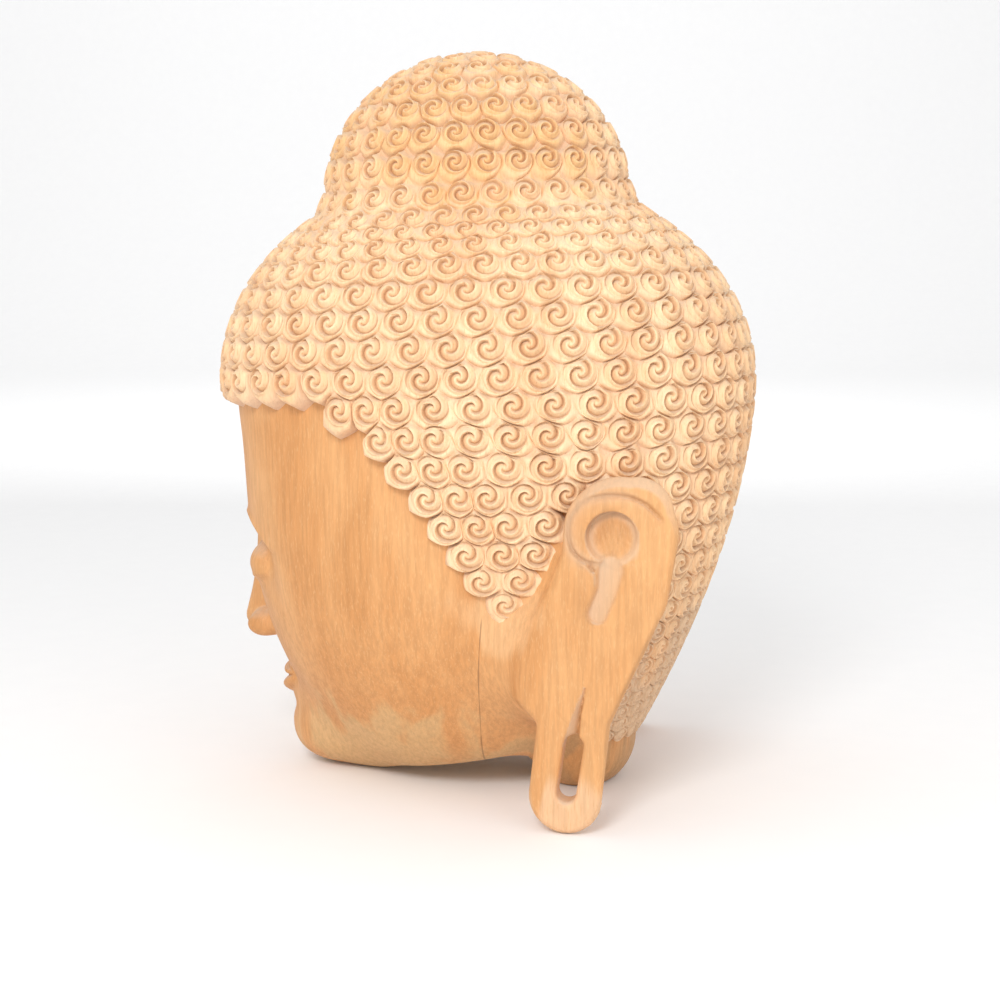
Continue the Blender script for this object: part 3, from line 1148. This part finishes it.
def curl_patch(centre, normal, pitch, edge_points, chance):
    """Rings of points round a curl, each with its recess and groove, its hub and its edge's recess."""
    right, up = level_axes(normal)
    size = min(DISC_OF_COLUMN * pitch[1], DISC_OF_ROW * pitch[0]) * (1 + DISC_VARIATION * chance[0])
    hub = centre + up * DISC_LIFT * pitch[0] + right * DISC_SHIFT * pitch[1] * chance[3]
    spokes = edge_points - hub
    along, upward, out = spokes @ right, spokes @ up, spokes @ normal
    angles, reach = np.arctan2(upward, along), np.hypot(along, upward)
    disc = np.minimum(size, DISC_LIMIT * reach)
    hand = 1.0 if centre[0] > -TINY else -1.0
    wave = SPIRAL_PITCH * size * (1 + WAVE_VARIATION * chance[2])
    turn = SPIRAL_START + SPIRAL_VARIATION * chance[1]
    boldness = SMALL_RELIEF + (1 - SMALL_RELIEF) * ramp(centre[2], NAPE_HEIGHT, FULL_SIZE_HEIGHT)
    relief = RELIEF_DEPTH * size * boldness
    level = np.cos(angles)[:, None] * right + np.sin(angles)[:, None] * up
    low = soft_step(-np.sin(angles), *BELLY_RANGE)

    # The spokes of the disc turn with the spiral's arms, so that each arm runs along them.
    order = np.argsort(angles)
    rings = []
    for share in np.arange(1, DISC_RINGS + 1) / DISC_RINGS:
        turned = angles - hand * math.pi * size * (1 - share) / wave
        radius = share * np.interp(turned, angles[order], disc[order], period=2 * math.pi)
        arm, groove = spiral(radius, turned if hand > 0 else math.pi - turned, wave, turn)
        fade = ramp(radius, HUB_RADIUS[0] * size, HUB_RADIUS[1] * size)
        edge = ramp(share, DISC_EDGE, 1.0) ** 2
        arm = arm + (RIM_LEVEL - arm) * RIM_SHARE * edge
        sink = relief * ((1 - arm) * fade + HUB_SINK * (1 - fade))
        height = -sink - EDGE_ROLL * size * edge - CURL_SINK
        spoke = np.cos(turned)[:, None] * right + np.sin(turned)[:, None] * up
        points = hub + spoke * radius[:, None] + normal * height[:, None]
        rings.append((points, 0.0, groove * fade * boldness))
    rim = (rings[-1][0] - hub) @ normal
    for share in WALL_RINGS:
        belly = share**BELLY_POWER
        shoulder = 1 - (1 - share) ** WALL_POWER
        bulge = BELLY_BULGE * size * np.sin(math.pi * min(share / BULGE_END, 1.0)) * low
        height = rim + (out - rim) * (shoulder + (belly - shoulder) * low) + bulge
        radius = disc + (reach - disc) * share
        points = hub + level * radius[:, None] + normal * height[:, None]
        rings.append((points, ramp(-height, *RECESS_RANGE), 0.0))
    return rings, hub - normal * (CURL_SINK + relief * HUB_SINK), ramp(-out, *RECESS_RANGE)


class CurlGroup:
    """One piece's curls as a mesh. Neighbours share the points of the crease between them."""

    def __init__(self):
        self.points, self.recess, self.groove, self.faces = [], [], [], []
        self.shared = {}
        self.count = 0

    def add(self, points, recess=0.0, groove=0.0):
        numbers = np.arange(self.count, self.count + len(points))
        self.points.append(points)
        self.recess.append(np.broadcast_to(recess, len(points)))
        self.groove.append(np.broadcast_to(groove, len(points)))
        self.count += len(points)
        return numbers

    def border(self, keys, points, recess):
        """The numbers of a cell's edge points, of which only those that no neighbour has are added."""
        for key, point, depth in zip(keys, points, recess):
            if key not in self.shared:
                self.shared[key] = self.add(point[None], depth)[0]
        return np.array([self.shared[key] for key in keys])

    def join(self, *corners):
        self.faces.append(np.stack(np.broadcast_arrays(*corners), axis=-1))


def add_curls(material):
    """Every curl in full, on one piece for the topknot and one for each quarter of the hair below it."""
    cells = Cells()
    chance = np.random.default_rng(SEED).uniform(-1, 1, (len(cells.centres), 4))
    groups = {}
    for site in np.flatnonzero(cells.grows):
        centre = cells.centres[site]
        on_left = centre[0] > -TINY
        side = "left" if on_left else "right"
        part = "front" if centre[1] < FRONT_BACK_SPLIT else "back"
        name = "topknot_curls" if centre[2] > FOLD_HEIGHT else f"{side}_{part}_curls"
        group = groups.setdefault(name, CurlGroup())
        keys, edge = cells.edge(site)
        rings, hub, recess = curl_patch(centre, cells.normals[site], pitches(centre[2]), edge, chance[site])
        loops = [group.add(*ring) for ring in rings]
        middle = group.add(hub[None])
        loops.append(group.border(keys, edge, recess))
        group.join(middle, loops[0], np.roll(loops[0], -1))
        for inner, outer in zip(loops, loops[1:]):
            inner_next, outer_next = np.roll(inner, -1), np.roll(outer, -1)
            # Each cell is split along its short diagonal, which depends on the way the spiral turns.
            if on_left:
                group.join(inner, outer, inner_next)
                group.join(outer, outer_next, inner_next)
            else:
                group.join(inner, outer, outer_next)
                group.join(inner, outer_next, inner_next)
    for name, group in groups.items():
        layers = {"recess": np.concatenate(group.recess), "groove": np.concatenate(group.groove)}
        add_mesh(name, np.concatenate(group.points), np.concatenate(group.faces), layers, material)


class Look:
    """A material, with a short call for each kind of node in it that returns what the node puts out."""

    def __init__(self, name):
        self.material = bpy.data.materials.new(name)
        self.material.use_nodes = True
        self.nodes = self.material.node_tree.nodes
        self.shader = self.nodes["Principled BSDF"]
        self.place = self.nodes.new("ShaderNodeTexCoord").outputs["Object"]

    def feed(self, socket, value):
        """Joins a socket to another one, or gives it a constant."""
        if isinstance(value, bpy.types.NodeSocket):
            self.material.node_tree.links.new(value, socket)
        elif socket.type == "RGBA":
            socket.default_value = (*value, 1.0)
        else:
            socket.default_value = value

    def worked_out(self, operation, *values):
        node = self.nodes.new("ShaderNodeMath")
        node.operation = operation
        for socket, value in zip(node.inputs, values):
            self.feed(socket, value)
        return node.outputs[0]

    def sum(self, first, second):
        return self.worked_out("ADD", first, second)

    def product(self, first, second):
        return self.worked_out("MULTIPLY", first, second)

    def mixed(self, share, first, second, blend="MIX"):
        node = self.nodes.new("ShaderNodeMix")
        node.data_type = "RGBA"
        node.blend_type = blend
        for number, value in ((0, share), (6, first), (7, second)):
            self.feed(node.inputs[number], value)
        return node.outputs[2]

    def ranged(self, value, low, high, to_low=0.0, to_high=1.0):
        node = self.nodes.new("ShaderNodeMapRange")
        node.interpolation_type = "SMOOTHSTEP"
        for number, setting in enumerate((value, low, high, to_low, to_high)):
            self.feed(node.inputs[number], setting)
        return node.outputs[0]

    def noise(self, scale, detail, roughness, distortion):
        stretched = self.nodes.new("ShaderNodeMapping")
        self.feed(stretched.inputs["Vector"], self.place)
        self.feed(stretched.inputs["Scale"], scale)
        node = self.nodes.new("ShaderNodeTexNoise")
        self.feed(node.inputs["Vector"], stretched.outputs[0])
        self.feed(node.inputs["Scale"], 1.0)
        self.feed(node.inputs["Detail"], detail)
        self.feed(node.inputs["Roughness"], roughness)
        self.feed(node.inputs["Distortion"], distortion)
        return node.outputs[0]

    def patch(self, centre, radii, ragged):
        """A soft-edged patch round a place, its edge made ragged by a noise."""
        shift = self.nodes.new("ShaderNodeMapping")
        shift.vector_type = "TEXTURE"
        self.feed(shift.inputs["Vector"], self.place)
        self.feed(shift.inputs["Location"], centre)
        self.feed(shift.inputs["Scale"], radii)
        length = self.nodes.new("ShaderNodeVectorMath")
        length.operation = "LENGTH"
        self.feed(length.inputs[0], shift.outputs[0])
        uneven = self.sum(length.outputs["Value"], self.ranged(ragged, *RAGGED_EDGE))
        return self.ranged(uneven, *PATCH_FADE)

    def layer(self, name):
        """A value that the mesh holds for each of its points."""
        node = self.nodes.new("ShaderNodeAttribute")
        node.attribute_name = name
        return node.outputs["Fac"]

    def axes(self, vector):
        node = self.nodes.new("ShaderNodeSeparateXYZ")
        self.feed(node.inputs[0], vector)
        return node.outputs

    def grey(self, value):
        node = self.nodes.new("ShaderNodeCombineColor")
        for socket in node.inputs[:3]:
            self.feed(socket, value)
        return node.outputs[0]

    def bump(self, height, strength, distance, normal=None, invert=False):
        node = self.nodes.new("ShaderNodeBump")
        node.invert = invert
        self.feed(node.inputs["Strength"], strength)
        self.feed(node.inputs["Distance"], distance)
        self.feed(node.inputs["Height"], height)
        if normal:
            self.feed(node.inputs["Normal"], normal)
        return node.outputs[0]


def glue_mask(look):
    """The thin, slightly wandering line where two boards of the block meet on the cheek."""
    where = look.axes(look.place)
    lean = look.sum(look.product(where["Z"], GLUE_LEAN), GLUE_OFFSET)
    beside = look.worked_out("ABSOLUTE", look.sum(where["Y"], lean))
    wander = look.product(look.sum(look.noise(*WANDER_NOISE), -0.5), GLUE_WANDER)
    line = look.ranged(look.sum(beside, wander), *GLUE_WIDTH)
    line = look.product(line, look.ranged(where["Z"], *GLUE_SPAN))
    return look.product(look.product(line, look.ranged(where["X"], *GLUE_LEAST_X)), GLUE_STRENGTH)


def carved_wood(name, colours, dust_share, patches, glued):
    """Bare carved wood: upright grain and pores, soft blotches, dark creases and dust on what faces up."""
    look = Look(name)
    light, dark, crease, groove = colours
    band = look.noise(*BAND_NOISE)
    grain = look.noise(*GRAIN_NOISE)
    fleck = look.ranged(look.noise(*PORE_NOISE), *FLECK_RANGE)
    speck = look.ranged(look.noise(*SPECK_NOISE), *SPECK_RANGE)
    tone = look.sum(look.product(look.noise(*BLOTCH_NOISE), BLOTCH_WEIGHT), look.product(band, BAND_WEIGHT))
    colour = look.mixed(look.ranged(tone, *TONE_RANGE), light, dark)
    for centre, radii, tint, strength in patches:
        colour = look.mixed(look.product(look.patch(centre, radii, band), strength), colour, tint)
    colour = look.mixed(STREAK_SHARE, colour, look.grey(look.ranged(grain, *STREAKS)), "MULTIPLY")
    colour = look.mixed(look.product(fleck, FLECK_SHARE), colour, FLECK_COLOUR)
    colour = look.mixed(look.product(speck, SPECK_SHARE), colour, SPECK_COLOUR)
    colour = look.mixed(look.product(look.layer("recess"), CREASE_SHARE), colour, crease)
    colour = look.mixed(look.product(look.layer("groove"), GROOVE_SHARE), colour, groove)
    normal = look.nodes.new("ShaderNodeNewGeometry").outputs["Normal"]
    facing_up = look.ranged(look.axes(normal)["Z"], *DUST_UP)
    settled = look.product(facing_up, look.ranged(look.noise(*DUST_NOISE), *DUST_CLUMPS))
    settled = look.product(settled, dust_share)
    settled = look.worked_out("MAXIMUM", settled, look.product(look.layer("dust"), LYING_SHARE))
    colour = look.mixed(settled, colour, DUST)
    if glued:
        colour = look.mixed(glue_mask(look), colour, GLUE_COLOUR)
    look.feed(look.shader.inputs["Base Color"], colour)
    look.feed(look.shader.inputs["Roughness"], look.ranged(look.sum(grain, settled), *ROUGHNESS))
    look.feed(look.shader.inputs["Specular IOR Level"], SHEEN)
    bumps = look.bump(fleck, *PORE_BUMP, look.bump(grain, *GRAIN_BUMP), invert=True)
    look.feed(look.shader.inputs["Normal"], bumps)
    return look.material


def backdrop_material():
    look = Look("studio_paper")
    shade = look.mixed(look.noise(*PAPER_NOISE), PAPER_LIGHT, PAPER_DARK)
    look.feed(look.shader.inputs["Base Color"], shade)
    look.feed(look.shader.inputs["Roughness"], PAPER_ROUGHNESS)
    return look.material


def add_backdrop():
    """A pale floor that curves up into a wall behind the object."""
    reach, bend = BACKDROP_REACH, BACKDROP_BEND
    profile = [(-reach, 0.0), (reach, 0.0)]
    turns = np.linspace(0.0, math.pi / 2, BACKDROP_PARTS + 1)[1:]
    profile += [(reach + bend * math.sin(turn), bend * (1 - math.cos(turn))) for turn in turns]
    profile.append((reach + bend, BACKDROP_HEIGHT))
    away = -np.array([math.cos(CAMERA_YAW), math.sin(CAMERA_YAW)])
    side = np.array([-away[1], away[0]])
    points = []
    for distance, height in profile:
        for half in (-BACKDROP_HALF_WIDTH, BACKDROP_HALF_WIDTH):
            points.append((*(away * distance + side * half), height))
    faces = [(2 * n, 2 * n + 1, 2 * n + 3, 2 * n + 2) for n in range(len(profile) - 1)]
    mesh = bpy.data.meshes.new("backdrop")
    mesh.from_pydata([tuple(map(float, point)) for point in points], [], faces)
    mesh.shade_smooth()
    floor = bpy.data.objects.new("backdrop", mesh)
    bpy.context.scene.collection.objects.link(floor)
    floor.data.materials.append(backdrop_material())


def add_light(name, place, target, size, power):
    data = bpy.data.lights.new(name, "AREA")
    data.shape = "DISK"
    data.size = size
    data.energy = power
    lamp = bpy.data.objects.new(name, data)
    bpy.context.scene.collection.objects.link(lamp)
    lamp.location = place
    lamp.rotation_euler = (Vector(target) - Vector(place)).to_track_quat("-Z", "Y").to_euler()


def add_camera():
    toward = np.array([math.cos(CAMERA_YAW), math.sin(CAMERA_YAW), 0.0])
    right_flat = np.array([-math.sin(CAMERA_YAW), math.cos(CAMERA_YAW), 0.0])
    flat = -toward * math.cos(CAMERA_TURN) + right_flat * math.sin(CAMERA_TURN)
    forward = flat * math.cos(CAMERA_PITCH) + np.array([0.0, 0.0, -math.sin(CAMERA_PITCH)])
    data = bpy.data.cameras.new("camera")
    data.sensor_width = SENSOR_WIDTH
    data.lens = CAMERA_LENS
    camera = bpy.data.objects.new("camera", data)
    bpy.context.scene.collection.objects.link(camera)
    camera.location = toward * CAMERA_DISTANCE + np.array([0.0, 0.0, CAMERA_HEIGHT])
    camera.rotation_euler = Vector(forward).to_track_quat("-Z", "Y").to_euler()
    bpy.context.scene.camera = camera


def add_studio():
    add_backdrop()
    add_camera()
    for light in LIGHTS:
        add_light(*light)
    world = bpy.data.worlds.new("studio")
    bpy.context.scene.world = world
    world.use_nodes = True
    sky = world.node_tree.nodes["Background"]
    sky.inputs["Color"].default_value = (1.0, 1.0, 1.0, 1.0)
    sky.inputs["Strength"].default_value = WORLD_STRENGTH
    bpy.context.scene.view_settings.view_transform = "Standard"


def main():
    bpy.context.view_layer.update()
    add_bare_wood(carved_wood("skin_wood", SKIN_COLOURS, SKIN_DUST, SKIN_PATCHES, True))
    add_curls(carved_wood("hair_wood", HAIR_COLOURS, HAIR_DUST, HAIR_PATCHES, False))
    add_studio()


EAR_MAP = EarMap()
main()
